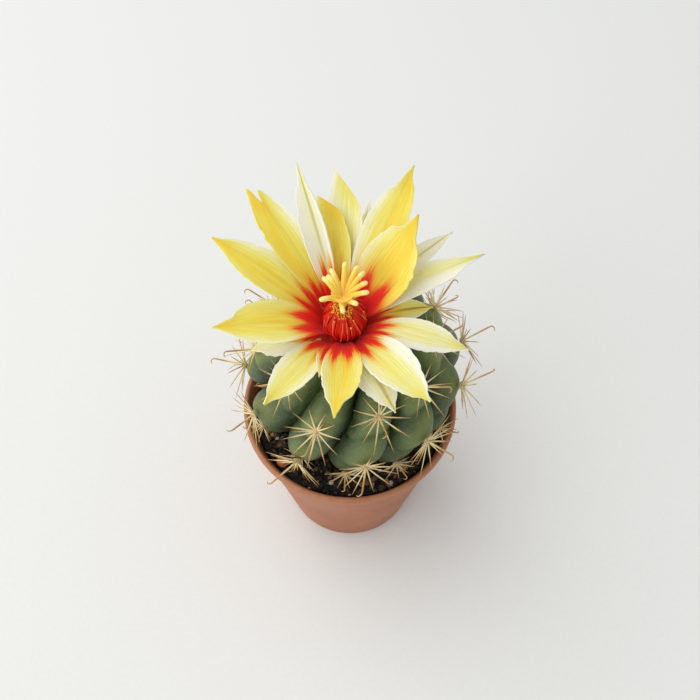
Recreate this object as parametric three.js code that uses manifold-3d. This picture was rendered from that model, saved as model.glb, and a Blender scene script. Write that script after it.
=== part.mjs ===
// A small round cactus in flower, in a terracotta-coloured nursery pot.
// Millimetres, +Z up. The origin is the middle of the pot's underside, and -Y is the front.

import * as THREE from "three";
import { mergeVertices } from "three/addons/utils/BufferGeometryUtils.js";
import Module from "manifold-3d";

const wasm = await Module();
wasm.setup();

// ---------- driving dimensions ----------

const GAP = 0.35;                // clearance left between neighbouring solids
const ROUND = 40;                // sides of the pot and the soil
const FLOWER_ROUND = 20;         // sides of the turned pieces of the flower

const POT_HEIGHT = 50;
const POT_RIM_RADIUS = 27.5;
const POT_BASE_RADIUS = 19;
const POT_WALL = 0.85;
const POT_FLOOR = 1.2;
const LIP_HEIGHT = 2.3;
const LIP_STEP = 1.2;            // how far the rolled lip stands out from the wall
const DRAIN_HOLES = 6;
const DRAIN_RADIUS = 2.5;
const DRAIN_CIRCLE = 11;

const SOIL_TOP = 46;
const SOIL_LUMP = 0.5;
const PEBBLE_RADIUS = 1.3;
const PEBBLE_TURN = -46;         // degrees from the front

const BODY_CENTRE = 62;          // height of the widest ring of the plant
const BODY_RADIUS = 26;
const BODY_UP = 20.5;            // half height above the widest ring
const BODY_DOWN = 18;            // half height below it
const BODY_SHIFT = new THREE.Vector2(1.3, 2);
const RIBS = 11;
const FIRST_RIB = 5;             // degrees from the front, toward +X
const RIB_TWIST = 9;             // degrees that the ribs turn from one areole level to the next
const RIB_LIFTS = [0, 0.1, 0.3, 0.1, -0.2, 0.15, 0.3, -0.1, -0.2, 0.15, -0.3];   // in levels
const VALLEY_DEPTH = 6;
const VALLEY_POWER = 2.6;        // a higher power makes the crease between two ribs narrower
const NOTCH_DEPTH = 3;
const TOP_LEVEL = 2.67;          // level of the growing point
const SOIL_LEVEL = -1.65;        // level at which the plant enters the soil
const BODY_LEVELS = [SOIL_LEVEL, -1.45, -1.25, -1, -0.75, -0.5, -0.25, 0, 0.25, 0.5, 0.75, 1,
  1.25, 1.5, 1.75, 2, 2.2, 2.4, 2.57];
const STEPS_PER_RIB = 4;
const DIMPLE_DEPTH = 7;
const DIMPLE_RADIUS = 6.5;
const ROOT = [[8.2, 43], [5.1, 38], [2.3, 29]];   // radius and height of the stub below the plant
const ROOT_TIP = 28;

const PAD_LIFT = 0.85;           // from the skin to the middle of the woolly pad
const PAD_NOTCH = 0.8;           // radius of the pad between two spines
const PAD_EDGE = 1;              // radius of the pad at a spine
const PAD_HALF = 0.45;           // half thickness of the pad
const RADIALS = 11;              // straight spines in each cluster

// Each row of clusters: areole level, length of the spines, how much longer the lowest ones are,
// degrees that they stand off the skin, and length and upward lean of the hooked spine.
const SPINE_ROWS = [
  { word: "low", level: -1, reach: 5.8, below: 0.5, spread: 25, hook: 5.2, lift: 1.6 },
  { word: "middle", level: 0, reach: 8, below: 1.1, spread: 19, hook: 8.6, lift: 0.3 },
  { word: "high", level: 1, reach: 7.2, below: 1.15, spread: 22, hook: 8, lift: -0.25 },
];
const CROWN_LEVEL = 2;           // level of the youngest areoles
const CROWN_WOOL = 0.6;          // radius of the ring of wool through them

const FLOWER_MOUTH = new THREE.Vector3(-1.5, 0.6, 82);
const FLOWER_TILT = 14;          // degrees that the flower nods toward the front
const WHORL_RADIUS = 3.6;
const WHORL_STEP = 0.56;
const PETAL_THICK = 0.42;
const PETAL_RISE = 70;           // degrees above level at which a petal leaves the tube
const PETAL_WIDEST = 0.58;       // fraction of a petal's length at which it is widest
const PETAL_ROWS = 6;
const PETAL_COLUMNS = 4;
const STYLE_TOP = 14.2;
const STIGMA_LOBES = 10;

// ---------- small helpers ----------

const radians = THREE.MathUtils.degToRad;
const between = THREE.MathUtils.lerp;
const easeIn = THREE.MathUtils.smoothstep;
const at = (x, y, z) => new THREE.Vector3(x, y, z);

// A steady pseudo-random value from 0 to 1 for a pair of whole numbers.
function chance(a, b) {
  const value = Math.sin(a * 12.9898 + b * 78.233 + 4.1) * 43758.5453;
  return value - Math.floor(value);
}

function finish(geometry, colour, roughness) {
  const material = new THREE.MeshStandardMaterial({ color: colour, roughness, metalness: 0 });
  geometry.computeVertexNormals();
  return new THREE.Mesh(geometry, material);
}

function named(name, mesh) {
  mesh.name = name;
  return mesh;
}

function surface(points, faces) {
  const geometry = new THREE.BufferGeometry();
  const flat = points.flatMap((point) => [point.x, point.y, point.z]);
  geometry.setAttribute("position", new THREE.Float32BufferAttribute(flat, 3));
  geometry.setIndex(faces.flat());
  return geometry;
}

// Turns a list of [radius, height] pairs about +Z.
function turned(profile, sides = ROUND) {
  const outline = profile.map(([radius, height]) => new THREE.Vector2(radius, height));
  return new THREE.LatheGeometry(outline, sides).rotateX(Math.PI / 2);
}

function toSolid(geometry) {
  const bare = geometry.clone();
  bare.deleteAttribute("normal");
  bare.deleteAttribute("uv");
  const merged = mergeVertices(bare, 1e-4);
  const vertProperties = Float32Array.from(merged.attributes.position.array);
  const triVerts = Uint32Array.from(merged.index.array);
  return new wasm.Manifold(new wasm.Mesh({ numProp: 3, vertProperties, triVerts }));
}

function toGeometry(solid) {
  const mesh = solid.getMesh();
  const geometry = new THREE.BufferGeometry();
  const places = Float32Array.from(mesh.vertProperties);
  geometry.setAttribute("position", new THREE.BufferAttribute(places, 3));
  geometry.setIndex(new THREE.BufferAttribute(Uint32Array.from(mesh.triVerts), 1));
  return geometry;
}

function joined(geometries) {
  const solids = geometries.map(toSolid);
  return toGeometry(solids.reduce((whole, next) => whole.add(next)));
}

// A tapering rod through the given points, with a flat start and a pointed end.
function rod(points, radii, sides) {
  const corners = [];
  let across = at(0.31, 0.83, 0.46);
  radii.forEach((radius, i) => {
    const along = points[i + 1].clone().sub(points[Math.max(i - 1, 0)]).normalize();
    across = across.clone().addScaledVector(along, -across.dot(along)).normalize();
    const third = along.clone().cross(across);
    for (let side = 0; side < sides; side++) {
      const turn = (2 * Math.PI * side) / sides;
      const corner = points[i].clone().addScaledVector(across, radius * Math.cos(turn));
      corners.push(corner.addScaledVector(third, radius * Math.sin(turn)));
    }
  });
  const start = corners.push(points[0].clone()) - 1;
  const tip = corners.push(points[radii.length].clone()) - 1;
  const last = (radii.length - 1) * sides;
  const faces = [];
  for (let side = 0; side < sides; side++) {
    const next = (side + 1) % sides;
    faces.push([start, next, side], [tip, last + side, last + next]);
    for (let ring = 0; ring < last; ring += sides) {
      faces.push([ring + side, ring + next, ring + next + sides]);
      faces.push([ring + side, ring + next + sides, ring + side + sides]);
    }
  }
  return surface(corners, faces);
}

// A thin closed sheet: its upper and lower points run in rows of the same width.
function sheet(upper, lower, columns) {
  const wide = columns + 1;
  const under = upper.length;
  const rows = under / wide - 1;
  const faces = [];
  const wall = (a, b) => faces.push([a, b, under + b], [a, under + b, under + a]);
  for (let row = 0; row < rows; row++) {
    for (let column = 0; column < columns; column++) {
      const a = row * wide + column;
      const b = a + wide;
      faces.push([a, b + 1, a + 1], [a, b, b + 1]);
      faces.push([under + a, under + a + 1, under + b + 1], [under + a, under + b + 1, under + b]);
    }
    wall((row + 1) * wide, row * wide);
    wall(row * wide + columns, (row + 1) * wide + columns);
  }
  for (let column = 0; column < columns; column++) {
    wall(column, column + 1);
    wall(rows * wide + column + 1, rows * wide + column);
  }
  return surface([...upper, ...lower], faces);
}

// ---------- pot ----------

function potInside(height) {
  const top = POT_RIM_RADIUS - LIP_STEP - POT_WALL;
  const bottom = POT_BASE_RADIUS - POT_WALL;
  return between(bottom, top, (height - POT_FLOOR) / (POT_HEIGHT - LIP_HEIGHT - POT_FLOOR));
}

function makePot() {
  const shoulder = POT_HEIGHT - LIP_HEIGHT;
  const wallTop = POT_RIM_RADIUS - LIP_STEP;
  const shell = turned([
    [0, 0],
    [POT_BASE_RADIUS - 0.8, 0],
    [POT_BASE_RADIUS, 0.8],
    [wallTop, shoulder],
    [POT_RIM_RADIUS, shoulder + 0.3],
    [POT_RIM_RADIUS, POT_HEIGHT - 0.4],
    [POT_RIM_RADIUS - 0.4, POT_HEIGHT],
    [POT_RIM_RADIUS - 1.2, POT_HEIGHT],
    [potInside(shoulder), shoulder],
    [potInside(POT_FLOOR), POT_FLOOR],
    [0, POT_FLOOR],
  ]);
  let pot = toSolid(shell);
  for (let i = 0; i < DRAIN_HOLES; i++) {
    const turn = (2 * Math.PI * i) / DRAIN_HOLES;
    const drill = new THREE.CylinderGeometry(DRAIN_RADIUS, DRAIN_RADIUS, 4, 16);
    drill.rotateX(Math.PI / 2);
    drill.translate(DRAIN_CIRCLE * Math.cos(turn), DRAIN_CIRCLE * Math.sin(turn), POT_FLOOR / 2);
    pot = pot.subtract(toSolid(drill));
  }
  return named("pot", finish(toGeometry(pot), 0xa8745a, 0.5));
}

// ---------- soil, with a socket that the root stands in ----------

function makeSoil() {
  const bottom = POT_FLOOR + GAP;
  const edge = SOIL_TOP - 0.3;
  const socketRim = BODY_RADIUS * Math.cos(radians(levelTilt(SOIL_LEVEL))) + 0.5;
  const profile = [[0, bottom], [potInside(bottom) - GAP, bottom], [potInside(edge) - GAP, edge]];
  for (const radius of [23, 20.5, 18, 15.5]) {
    profile.push([radius, SOIL_TOP]);
  }
  profile.push([socketRim, SOIL_TOP - 0.1]);
  for (const [radius, height] of ROOT) {
    profile.push([radius + GAP, height - GAP]);
  }
  profile.push([0, ROOT_TIP - 2 * GAP]);
  const soil = turned(profile);
  const place = soil.attributes.position;
  for (let i = 0; i < place.count; i++) {
    if (Math.abs(place.getZ(i) - SOIL_TOP) < 0.01) {
      const lump = Math.sin(place.getX(i) * 1.7 + 1) * Math.cos(place.getY(i) * 1.9);
      place.setZ(i, SOIL_TOP + SOIL_LUMP * lump);
    }
  }
  return named("soil", finish(soil, 0x1c1a18, 0.95));
}

function makePebble() {
  const pebble = new THREE.IcosahedronGeometry(PEBBLE_RADIUS, 1);
  pebble.scale(1.2, 0.9, 0.7);
  const mesh = finish(pebble, 0xb5693f, 0.9);
  const turn = radians(PEBBLE_TURN);
  const out = POT_RIM_RADIUS - 4;
  mesh.rotation.z = turn;
  mesh.position.set(out * Math.sin(turn), -out * Math.cos(turn), SOIL_TOP + 0.8 * PEBBLE_RADIUS + 0.6);
  return named("clay_pebble", mesh);
}

// ---------- plant body ----------

// Degrees above the widest ring for an areole level; level 2 is the youngest full one.
function levelTilt(level) {
  return 3 + 38.5 * level - 2.2 * Math.max(0, level) ** 2;
}

// Tilt and turn, in radians, and half height of the body where a rib has its nth areole.
// Areoles of neighbouring ribs are staggered, except at the soil and at the growing point.
function place(rib, level) {
  const whole = Math.floor(rib);
  const lift = between(RIB_LIFTS[whole % RIBS], RIB_LIFTS[(whole + 1) % RIBS], rib - whole);
  const free = easeIn(level, SOIL_LEVEL, -0.7) * (1 - easeIn(level, 1.1, 2));
  const height = level + lift * free;
  const tilt = radians(Math.min(levelTilt(height), 90));
  const turn = radians(FIRST_RIB + (360 / RIBS) * rib + RIB_TWIST * height);
  return { tilt, turn, up: tilt > 0 ? BODY_UP : BODY_DOWN };
}

// The point of the skin at a rib number and an areole level. Whole numbers are areoles.
function skin(rib, level) {
  const { tilt, turn, up } = place(rib, level);
  const rising = easeIn(level, SOIL_LEVEL, SOIL_LEVEL + 0.6);
  const offCrest = Math.abs(rib - Math.round(rib)) * 2;
  const offAreole = Math.abs(level - Math.round(level)) * 2;
  const valley = VALLEY_DEPTH * Math.cos(tilt) * offCrest ** VALLEY_POWER;
  const notch = NOTCH_DEPTH * Math.cos(tilt) * offAreole ** 2 * (1 - 0.6 * offCrest);
  const growth = 0.3 * Math.sin(3 * turn + 1.3 * level) - 0.9 * Math.sin(2 * turn + 0.7);
  const inward = (valley + notch - growth * Math.cos(tilt)) * rising;
  const normal = new THREE.Vector2(Math.cos(tilt) / BODY_RADIUS, Math.sin(tilt) / up).normalize();
  const radius = BODY_RADIUS * Math.cos(tilt) - inward * normal.x;
  const height = BODY_CENTRE + up * Math.sin(tilt) - inward * normal.y;
  const lean = easeIn(height, SOIL_TOP + 1, BODY_CENTRE);
  const point = at(radius * Math.sin(turn), -radius * Math.cos(turn), height);
  point.x += BODY_SHIFT.x * lean;
  point.y += BODY_SHIFT.y * lean;
  const offFlower = Math.hypot(point.x - FLOWER_MOUTH.x, point.y - FLOWER_MOUTH.y);
  point.z -= tilt > 0 ? DIMPLE_DEPTH * Math.exp(-((offFlower / DIMPLE_RADIUS) ** 2)) : 0;
  return point;
}

function makeBody() {
  const around = RIBS * STEPS_PER_RIB;
  const points = [];
  for (const [radius, height] of [...ROOT].reverse()) {
    for (let i = 0; i < around; i++) {
      const turn = radians(FIRST_RIB + RIB_TWIST * SOIL_LEVEL) + (2 * Math.PI * i) / around;
      points.push(at(radius * Math.sin(turn), -radius * Math.cos(turn), height));
    }
  }
  for (const level of BODY_LEVELS) {
    for (let i = 0; i < around; i++) {
      points.push(skin(i / STEPS_PER_RIB, level));
    }
  }
  const bottom = points.push(at(0, 0, ROOT_TIP)) - 1;
  const top = points.push(skin(0, TOP_LEVEL)) - 1;
  const faces = [];
  const rows = ROOT.length + BODY_LEVELS.length;
  for (let i = 0; i < around; i++) {
    const next = (i + 1) % around;
    for (let row = 0; row + 1 < rows; row++) {
      const a = row * around + i;
      const b = row * around + next;
      faces.push([a, b, b + around], [a, b + around, a + around]);
    }
    faces.push([bottom, next, i], [top, (rows - 1) * around + i, (rows - 1) * around + next]);
  }
  return named("cactus_body", finish(surface(points, faces), 0x6b734b, 0.45));
}

// ---------- spines ----------

// The place of an areole on the skin, and its outward, sideways and upward directions.
function areole(rib, level) {
  const { tilt, turn, up } = place(rib, level);
  const slope = new THREE.Vector2(Math.cos(tilt) / BODY_RADIUS, Math.sin(tilt) / up).normalize();
  const outward = at(slope.x * Math.sin(turn), -slope.x * Math.cos(turn), slope.y);
  const sideways = at(Math.cos(turn), Math.sin(turn), 0);
  const upward = outward.clone().cross(sideways);
  const centre = skin(rib, level).addScaledVector(outward, PAD_LIFT);
  return { centre, outward, sideways, upward };
}

// A point in an areole's own directions: along the skin by a turn and a radius, then outward.
function beside(frame, turn, radius, rise) {
  const point = frame.centre.clone().addScaledVector(frame.sideways, radius * Math.cos(turn));
  point.addScaledVector(frame.upward, radius * Math.sin(turn));
  return point.addScaledVector(frame.outward, rise);
}

// A woolly pad with a ring of straight spines growing out of its edge as one solid.
function spinyPad(frame, spines) {
  const points = [beside(frame, 0, 0, PAD_HALF), beside(frame, 0, 0, -PAD_HALF)];
  const faces = [];
  const step = (2 * Math.PI) / spines.length;
  spines.forEach(({ turn, length, spread }, i) => {
    points.push(beside(frame, turn, length * Math.cos(spread), length * Math.sin(spread)));
    points.push(beside(frame, turn, PAD_EDGE, PAD_HALF / 2));
    points.push(beside(frame, turn, PAD_EDGE, -PAD_HALF / 2));
    points.push(beside(frame, turn + step / 2, PAD_NOTCH, 0));
    const tip = 2 + 4 * i;
    const ridge = tip + 1;
    const keel = tip + 2;
    const left = tip + 3;
    const right = 5 + 4 * ((i + spines.length - 1) % spines.length);
    faces.push([tip, ridge, right], [tip, left, ridge], [tip, right, keel], [tip, keel, left]);
    faces.push([0, right, ridge], [0, ridge, left], [1, keel, right], [1, left, keel]);
  });
  return surface(points, faces);
}

// A straight shaft whose end bends round toward the given side.
function hookedSpine(frame, shaft, bend, length) {
  const along = (forward, aside) => {
    const point = frame.centre.clone().addScaledVector(shaft, forward * length);
    return point.addScaledVector(bend, aside * length);
  };
  const points = [along(0, 0), along(0.84, 0), along(0.97, 0.06), along(0.92, 0.17)];
  return rod(points, [0.34, 0.26, 0.2], 3);
}

function makeSpineCluster(row, rib) {
  const frame = areole(rib, row.level);
  const step = (2 * Math.PI) / RADIALS;
  const spines = [];
  for (let i = 0; i < RADIALS; i++) {
    const turn = step * (i + chance(rib, row.level + 3));
    const below = (1 - Math.sin(turn)) / 2;
    const length = row.reach * between(0.9, row.below, below) * (0.88 + 0.2 * chance(i, rib));
    spines.push({ turn, length, spread: radians(row.spread + 10 * (chance(rib, i + 7) - 0.5)) });
  }
  const lean = 0.9 * (chance(rib, row.level + 9) - 0.5);
  const shaft = frame.outward.clone().addScaledVector(frame.upward, row.lift);
  shaft.addScaledVector(frame.sideways, lean).normalize();
  const bend = frame.sideways.clone().multiplyScalar(chance(rib, 3) < 0.5 ? 1 : -1);
  bend.addScaledVector(frame.upward, -0.6).normalize();
  const cluster = joined([spinyPad(frame, spines), hookedSpine(frame, shaft, bend, row.hook)]);
  const number = String(rib + 1).padStart(2, "0");
  return named(`spines_${row.word}_${number}`, finish(cluster, 0xd9be8a, 0.55));
}

// A closed round ring of even thickness through the given points.
function ringThrough(points, radius, sides) {
  const centre = points.reduce((sum, point) => sum.add(point), at(0, 0, 0)).divideScalar(points.length);
  const corners = [];
  const faces = [];
  const count = points.length * sides;
  points.forEach((point, i) => {
    const away = point.clone().sub(centre).setZ(0).normalize();
    for (let side = 0; side < sides; side++) {
      const turn = (2 * Math.PI * side) / sides;
      const corner = point.clone().addScaledVector(away, radius * Math.cos(turn));
      corners.push(corner.add(at(0, 0, radius * Math.sin(turn))));
      const a = i * sides + side;
      const b = i * sides + ((side + 1) % sides);
      faces.push([a, (a + sides) % count, b], [b, (a + sides) % count, (b + sides) % count]);
    }
  });
  return surface(corners, faces);
}

// The youngest areoles crowd round the growing point, and their wool runs together in a ring.
function makeCrown() {
  const frames = [];
  for (let rib = 0; rib < RIBS; rib++) {
    frames.push(areole(rib, CROWN_LEVEL));
  }
  const line = new THREE.CatmullRomCurve3(frames.map((frame) => frame.centre), true);
  const places = line.getPoints(3 * RIBS).slice(0, -1);
  const pieces = [ringThrough(places, CROWN_WOOL, 5)];
  for (const frame of frames) {
    for (const side of [-0.8, 0.1, 0.9]) {
      const tip = frame.centre.clone().addScaledVector(frame.sideways, 3 * side);
      tip.addScaledVector(frame.upward, -3).addScaledVector(frame.outward, 1.7);
      pieces.push(rod([frame.centre, tip], [0.28], 3));
    }
  }
  return named("crown_wool", finish(joined(pieces), 0xd8cda8, 0.9));
}

// ---------- flower, in its own frame: the tube's mouth is the origin and +Z is its axis ----------

// Each petal: direction in degrees from the front toward +X, length, degrees above level that its
// tip lies at, greatest width, the whorl that it stands in, 0 being the innermost, how far the tip
// is shifted toward the petal's right hand as seen from the flower's axis, and blunt, the fraction
// of a pointed petal's length at which a blunt one ends.
const PETALS = [
  { from: -1.5, length: 24.4, level: 14, width: 8.2, whorl: 0, shift: -0.9 },
  { from: 27, length: 21.6, level: -4, width: 8, whorl: 2 },
  { from: 41, length: 26.4, level: 7, width: 9.2, whorl: 1 },
  { from: 74, length: 25.6, level: -9, width: 6.8, whorl: 2 },
  { from: 100, length: 16.4, level: -14, width: 5.2, whorl: 3 },
  { from: 112, length: 31.8, level: 1, width: 6, whorl: 2 },
  { from: 128.5, length: 28.8, level: -6, width: 4.8, whorl: 3 },
  { from: 131.5, length: 28.2, level: 37, width: 12.4, whorl: 0, shift: 2.2 },
  { from: 152.5, length: 35.4, level: 18, width: 8.8, whorl: 1 },
  { from: 167, length: 25, level: 6, width: 3.4, whorl: 3 },
  { from: 178.5, length: 31.4, level: 6, width: 7.6, whorl: 2.35, blunt: 0.83 },
  { from: 187.5, length: 26.4, level: 19, width: 7, whorl: 1.1, blunt: 0.84 },
  { from: 198.5, length: 34.4, level: 22, width: 5.2, whorl: 0 },
  { from: 219, length: 33.2, level: 15, width: 8.2, whorl: 2 },
  { from: 242, length: 30.8, level: 10.5, width: 8.4, whorl: 3 },
  { from: 280, length: 27.6, level: 7, width: 9.6, whorl: 0 },
  { from: 288, length: 17.6, level: -20, width: 7.4, whorl: 3 },
  { from: 321.5, length: 23.4, level: 1, width: 7.6, whorl: 2.7 },
  { from: 341, length: 13.6, level: 19, width: 4.8, whorl: 1.5, bend: 1.5 },
];

// The share of its full width that a petal has at a fraction of its length.
function petalWidth(s) {
  if (s < PETAL_WIDEST) {
    return 0.2 + 0.8 * Math.sin((Math.PI / 2) * (s / PETAL_WIDEST)) ** 1.7;
  }
  return Math.max(Math.cos((Math.PI / 2) * ((s - PETAL_WIDEST) / (1 - PETAL_WIDEST))), 0.03);
}

// Steepness of a petal at a fraction of its length.
function petalRise(petal, s) {
  return radians(petal.level + (PETAL_RISE - petal.level) * (1 - s) ** (petal.bend ?? 2));
}

// Distance from the flower's axis and height of the middle of a petal at a fraction of its length.
function petalMiddle(petal, s) {
  const steps = 24;
  let radius = WHORL_RADIUS + WHORL_STEP * petal.whorl;
  let height = 0.4;
  for (let i = 0; i < steps; i++) {
    const here = (s * (i + 0.5)) / steps;
    const rise = petalRise(petal, here);
    radius += (Math.cos(rise) * petal.length * s) / steps;
    height += (Math.sin(rise) * petal.length * s) / steps;
  }
  return { radius, height };
}

function makePetal(petal, number) {
  const turn = radians(petal.from);
  const outward = at(Math.sin(turn), -Math.cos(turn), 0);
  const sideways = at(Math.cos(turn), Math.sin(turn), 0);
  const upper = [];
  const lower = [];
  for (let row = 0; row <= PETAL_ROWS; row++) {
    const s = row / PETAL_ROWS;
    const { radius, height } = petalMiddle(petal, s);
    const rise = petalRise(petal, s);
    const half = (petal.width / 2) * petalWidth(s * (petal.blunt ?? 1));
    const curl = radius * (1 + 2 * s);
    for (let column = 0; column <= PETAL_COLUMNS; column++) {
      const u = (2 * column) / PETAL_COLUMNS - 1;
      const channel = (0.75 - 0.2 * petal.whorl) * u * u * Math.sin(Math.PI * s);
      const wave = 0.25 * u * s * Math.sin(9 * s + 2.4 * number);
      const away = radius - curl * (1 - Math.cos((u * half) / curl));
      const point = outward.clone().multiplyScalar(away - Math.sin(rise) * (channel + wave));
      const aside = curl * Math.sin((u * half) / curl) + (petal.shift ?? 0) * s ** 3;
      point.addScaledVector(sideways, aside);
      point.z = height + Math.cos(rise) * (channel + wave);
      const thick = PETAL_THICK * (1 - 0.45 * Math.abs(u)) * (1 - 0.4 * s);
      const normal = outward.clone().multiplyScalar(-Math.sin(rise)).setZ(Math.cos(rise));
      upper.push(point.clone().addScaledVector(normal, thick / 2));
      lower.push(point.clone().addScaledVector(normal, -thick / 2));
    }
  }
  const colour = petal.whorl < 2 ? 0xf2dd62 : 0xf2e39a;
  const word = String(number + 1).padStart(2, "0");
  return named(`petal_${word}`, finish(sheet(upper, lower, PETAL_COLUMNS), colour, 0.5));
}

function makeTube() {
  const rim = WHORL_RADIUS + 3 * WHORL_STEP + 0.4;
  const tube = turned([
    [0, -5],
    [2, -5],
    [2.9, -3.4],
    [rim - 1.2, -1],
    [rim, -0.4],
    [rim, 0],
    [3.1, 0],
    [2.8, -1.6],
    [0, -2],
  ], FLOWER_ROUND);
  return named("flower_tube", finish(tube, 0x8d9a4e, 0.5));
}

function makeStamens() {
  const column = turned([
    [1.2, -1.2],
    [2.4, -1.2],
    [3.1, 1],
    [4.2, 5],
    [4.5, 8],
    [3.9, 10.2],
    [2.8, 11.2],
    [2.1, 10.6],
    [1.2, -1.2],
  ], FLOWER_ROUND);
  return named("stamens", finish(column, 0xc02a18, 0.6));
}

function makeStyle() {
  const back = (height) => 0.0075 * height * height;   // the style curves back to upright
  const middle = (height) => at(0, back(height), height);
  const pieces = [rod([-1.4, 4, 9, STYLE_TOP, STYLE_TOP + 1].map(middle), [0.75, 0.8, 0.8, 1.1], 7)];
  for (let i = 0; i < STIGMA_LOBES; i++) {
    const turn = (2 * Math.PI * (i + 0.25)) / STIGMA_LOBES;
    const lobe = (away, rise) => {
      const point = middle(STYLE_TOP + rise);
      return point.add(at(away * Math.sin(turn), -away * Math.cos(turn), 0));
    };
    const path = [lobe(0, -0.4), lobe(1.8, 1.8), lobe(3.6, 3), lobe(5.2, 2.9)];
    pieces.push(rod(path, [0.5, 0.6, 0.5], 4));
  }
  return named("style_and_stigma", finish(joined(pieces), 0xf4bf3c, 0.5));
}

// ---------- the whole plant ----------

const flower = new THREE.Group();
flower.position.copy(FLOWER_MOUTH);
flower.rotation.x = radians(FLOWER_TILT);
flower.add(makeTube(), makeStamens(), makeStyle());
PETALS.forEach((petal, number) => flower.add(makePetal(petal, number)));

const plant = new THREE.Group();
plant.add(makeBody(), makeCrown());
for (const row of SPINE_ROWS) {
  for (let rib = 0; rib < RIBS; rib++) {
    plant.add(makeSpineCluster(row, rib));
  }
}
plant.add(flower);

const group = new THREE.Group();
group.add(makePot(), makeSoil(), makePebble(), plant);

export default group;
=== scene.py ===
import math
import random

import bpy
from mathutils import Matrix, Vector, noise


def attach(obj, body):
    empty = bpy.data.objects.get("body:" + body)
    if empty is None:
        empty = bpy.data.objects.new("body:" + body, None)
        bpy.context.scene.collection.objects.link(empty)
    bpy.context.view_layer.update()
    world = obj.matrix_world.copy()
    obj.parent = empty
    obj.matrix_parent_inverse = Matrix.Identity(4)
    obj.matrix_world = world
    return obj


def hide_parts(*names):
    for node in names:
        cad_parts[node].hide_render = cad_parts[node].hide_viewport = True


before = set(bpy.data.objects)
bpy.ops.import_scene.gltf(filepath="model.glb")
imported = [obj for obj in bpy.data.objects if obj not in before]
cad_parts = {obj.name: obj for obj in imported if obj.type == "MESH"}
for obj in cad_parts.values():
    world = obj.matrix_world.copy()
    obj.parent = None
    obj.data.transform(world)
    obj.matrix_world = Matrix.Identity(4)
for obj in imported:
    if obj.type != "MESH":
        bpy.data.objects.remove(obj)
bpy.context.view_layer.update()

bpy.ops.object.select_all(action="DESELECT")

# ---------- pot ----------
# A thin round nursery pot with a rolled lip and six drain holes in its floor.
# It is polypropylene coloured through like terracotta, injection moulded in one
# piece, so the wall is smooth and dull and only the lip catches a soft light.

MM = 0.001
POT_SIDES = 144
POT_OUTLINE = [          # radius and height in mm: floor, wall, lip, inside, floor again
    (18.2, 0), (18.75, 0.22), (19, 0.8), (22.5, 23.7), (26.3, 47.5), (26.38, 47.72), (27.1, 47.88),
    (27.42, 48.1), (27.5, 48.5), (27.5, 49.3), (27.36, 49.75), (27.05, 50), (26.6, 50),
    (26.3, 49.8), (26.12, 49.4), (25.45, 47.7), (21.8, 24.5), (18.15, 1.5), (17.8, 1.2)]
DRAIN_HOLES = 6
DRAIN_RADIUS = 2.5
DRAIN_CIRCLE = 11
DRILL_DEPTH = 6


def linear(code):
    """The linear colour, with full alpha, of an sRGB hex code."""
    parts = [int(code[i:i + 2], 16) / 255 for i in (1, 3, 5)]
    return tuple(p / 12.92 if p <= 0.04045 else ((p + 0.055) / 1.055) ** 2.4 for p in parts) + (1.0,)


def add(tree, kind, inputs=None, **settings):
    """Adds a node. inputs maps a socket's name or number to a value, a node or an output."""
    made = tree.nodes.new("ShaderNode" + kind)
    for name, value in settings.items():
        if name != "stops":
            setattr(made, name, value)
            continue
        stops = made.color_ramp.elements
        while len(stops) < len(value):
            stops.new(1.0)
        for stop, (position, code) in zip(stops, value):
            stop.position = position
            stop.color = linear(code)
    for key, value in (inputs or {}).items():
        if isinstance(value, bpy.types.Node):
            value = next(output for output in value.outputs if output.enabled)
        if isinstance(value, bpy.types.NodeSocket):
            tree.links.new(value, made.inputs[key])
        else:
            made.inputs[key].default_value = value
    return made


def new_finish(name):
    """An empty material, its node tree, and the Object coordinates that its patterns use."""
    material = bpy.data.materials.new(name)
    material.use_nodes = True
    tree = material.node_tree
    tree.nodes.clear()
    return material, tree, add(tree, "TexCoord").outputs["Object"]


def turned(outline, sides):
    """Models a round shape from a disc, by extruding its rim ring by ring up the outline."""
    radius, height = outline[0]
    bpy.ops.mesh.primitive_circle_add(
        vertices=sides, radius=radius * MM, fill_type="NGON", location=(0, 0, height * MM))
    bpy.ops.object.mode_set(mode="EDIT")
    bpy.ops.mesh.select_mode(type="EDGE")
    bpy.ops.mesh.select_all(action="SELECT")
    bpy.ops.mesh.region_to_loop()
    for wider, higher in outline[1:]:
        bpy.ops.mesh.extrude_region_move(
            TRANSFORM_OT_translate={"value": (0, 0, (higher - height) * MM)})
        bpy.ops.transform.resize(
            value=(wider / radius, wider / radius, 1), center_override=(0, 0, higher * MM))
        radius, height = wider, higher
    bpy.ops.mesh.edge_face_add()
    bpy.ops.mesh.select_all(action="SELECT")
    bpy.ops.mesh.normals_make_consistent(inside=False)
    bpy.ops.object.mode_set(mode="OBJECT")


def settle(name, material, slot, *nodes):
    """Names and dresses the active piece, puts its place in its mesh and fixes it to the part."""
    piece = bpy.context.object
    piece.name = name
    piece.data.name = name
    bpy.ops.object.transform_apply(location=True, rotation=True, scale=True)
    if material:
        piece.data.materials.append(material)
    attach(piece, "root")
    if nodes:
        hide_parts(*nodes)


def smooth(degrees):
    """Smooth shading on the active piece, with edges sharper than this left crisp."""
    bpy.ops.object.shade_smooth_by_angle(angle=math.radians(degrees))


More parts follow.
